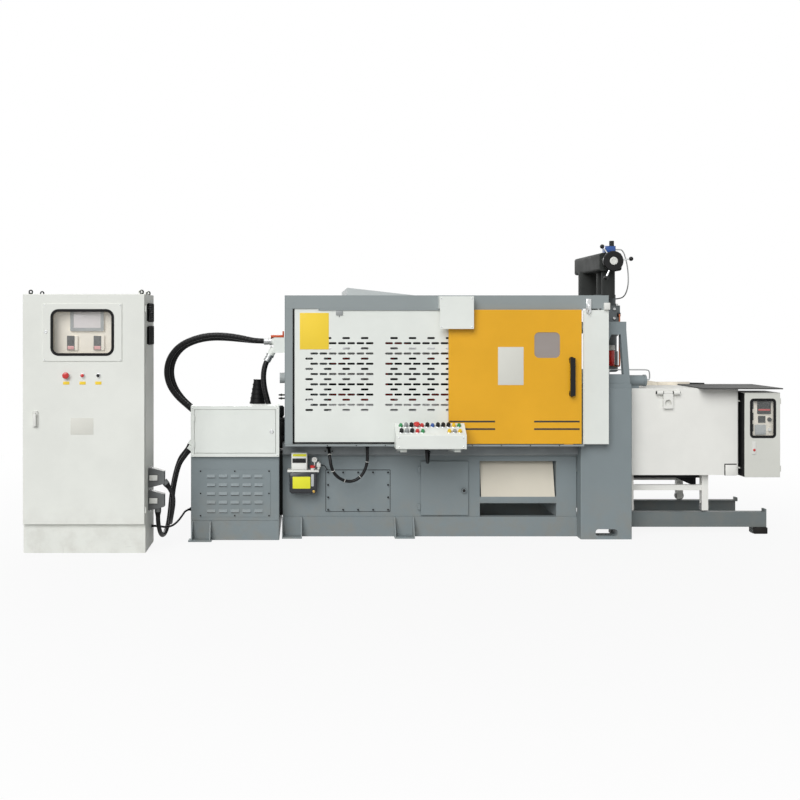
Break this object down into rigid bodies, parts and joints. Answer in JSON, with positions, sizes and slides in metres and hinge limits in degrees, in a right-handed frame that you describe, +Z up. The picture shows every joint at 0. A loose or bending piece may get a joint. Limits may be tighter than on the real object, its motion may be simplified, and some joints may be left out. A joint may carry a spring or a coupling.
{
  "type": "hot chamber die casting machine",
  "caption": "Die casting machine with a toggle clamp behind a perforated guard and sliding door, a furnace on a rail trolley, a shot unit, a pump base and a switch cabinet.",
  "frame": {"origin": "centre of the footprint on the floor", "axes": "+X along the machine from the switch cabinet to the furnace, +Y from the operator side to the rear, +Z up"},
  "size_m": [5.2065, 1.537, 2.11],
  "materials": {
    "cabinet_paint": "textured",
    "pane": "clear",
    "cream_panel": "satin",
    "dark_plastic": "matte",
    "grey_metal": "cast",
    "grey_paint": "satin",
    "white_paint": "satin",
    "rail_steel": "ground",
    "red_cast": "painted",
    "yellow_paint": "satin",
    "door_pane": "grey",
    "dark_cast": "painted",
    "lid_board": "refractory grey",
    "lubricator_plastic": "moulded",
    "rubber": "matte"
  },
  "bodies": {
    "machine": {"bed_cable_loop": "rubber", "bed_front_plate": "grey_paint", "bed_guide_rails": "rail_steel", "bed_side_channels": "grey_paint", "bed_web_plates": "grey_paint", "cabinet_body": "cabinet_paint", "cabinet_cable_lower": "rubber", "cabinet_cable_upper": "rubber", "cabinet_connectors": "grey_metal", "casting_chute": "white_paint", "clamp_cylinder": "grey_metal", "clamp_manifold": "grey_metal", "console_cable": "rubber", "console_controls": "dark_plastic", "console_housing": "white_paint", "fixed_platen": "red_cast", "floor_cable": "rubber", "furnace_rails": "grey_paint", "guard_cover_plates": "white_paint", "guard_frame": "grey_paint", "guard_rear_panels": "white_paint", "hose_inner": "rubber", "hose_outer": "rubber", "hose_return": "rubber", "junction_box": "white_paint", "lift_overarm": "dark_cast", "lubricator": "lubricator_plastic", "moving_platen": "red_cast", "oil_breather": "dark_cast", "perforated_panel": "white_paint", "pillars": "grey_paint", "pump_base": "grey_paint", "pump_louvre_panel": "grey_paint", "rear_platen": "red_cast", "shot_cylinder": "dark_cast", "shot_yoke": "grey_paint", "tie_bars": "rail_steel", "toggle_links": "red_cast", "top_cover": "white_paint"},
    "cabinet_door": {"cabinet_door": "cabinet_paint", "cabinet_window_door": "cabinet_paint", "cabinet_window_pane": "pane", "cabinet_instrument_panel": "cream_panel", "cabinet_door_controls": "dark_plastic"},
    "junction_box_door": {"junction_box_door": "white_paint"},
    "bed_access_door": {"bed_access_door": "grey_paint"},
    "safety_door": {"safety_door": "yellow_paint", "safety_door_window": "door_pane", "safety_door_handle": "dark_plastic"},
    "furnace": {"furnace_shell": "white_paint", "furnace_lid": "lid_board", "furnace_lug": "rail_steel", "furnace_trolley": "white_paint", "furnace_shelf": "dark_cast", "furnace_control_box": "white_paint", "carriage_cylinder": "grey_metal"},
    "furnace_box_door": {"furnace_box_door": "white_paint"},
    "trolley_wheels_left": {"trolley_wheels_left": "rail_steel"},
    "trolley_wheels_right": {"trolley_wheels_right": "rail_steel"},
    "handwheel": {"handwheel": "dark_plastic"}
  },
  "joints": [
    {"name": "cabinet_door_hinge", "type": "hinge", "parent": "machine", "child": "cabinet_door", "pos_m": [-1.7985, -0.7075, 0.9], "axis": [0, 0, 1], "range_deg": [0, 110]},
    {"name": "junction_box_door_hinge", "type": "hinge", "parent": "machine", "child": "junction_box_door", "pos_m": [-1.5215, -0.313, 0.76], "axis": [0, 0, -1], "range_deg": [0, 90]},
    {"name": "bed_access_door_hinge", "type": "hinge", "parent": "machine", "child": "bed_access_door", "pos_m": [0.06, -0.1599, 0.34], "axis": [0, 0, -1], "range_deg": [0, 100]},
    {"name": "safety_door_slide", "type": "slide", "parent": "machine", "child": "safety_door", "axis": [-1, 0, 0], "range_m": [0, 0.86]},
    {"name": "furnace_slide", "type": "slide", "parent": "machine", "child": "furnace", "axis": [1, 0, 0], "range_m": [0, 0.3]},
    {"name": "furnace_box_door_hinge", "type": "hinge", "parent": "furnace", "child": "furnace_box_door", "pos_m": [2.601, -0.181, 0.72], "axis": [0, 0, 1], "range_deg": [0, 100]},
    {"name": "handwheel_spin", "type": "hinge", "parent": "machine", "child": "handwheel", "pos_m": [1.468, -0.02, 1.958], "axis": [0, 1, 0], "continuous": true},
    {"name": "trolley_wheels_left_spin", "type": "hinge", "parent": "furnace", "child": "trolley_wheels_left", "pos_m": [1.583, 0.22, 0.1883], "axis": [0, 1, 0], "continuous": true},
    {"name": "trolley_wheels_right_spin", "type": "hinge", "parent": "furnace", "child": "trolley_wheels_right", "pos_m": [2.119, 0.22, 0.1883], "axis": [0, 1, 0], "continuous": true}
  ]
}
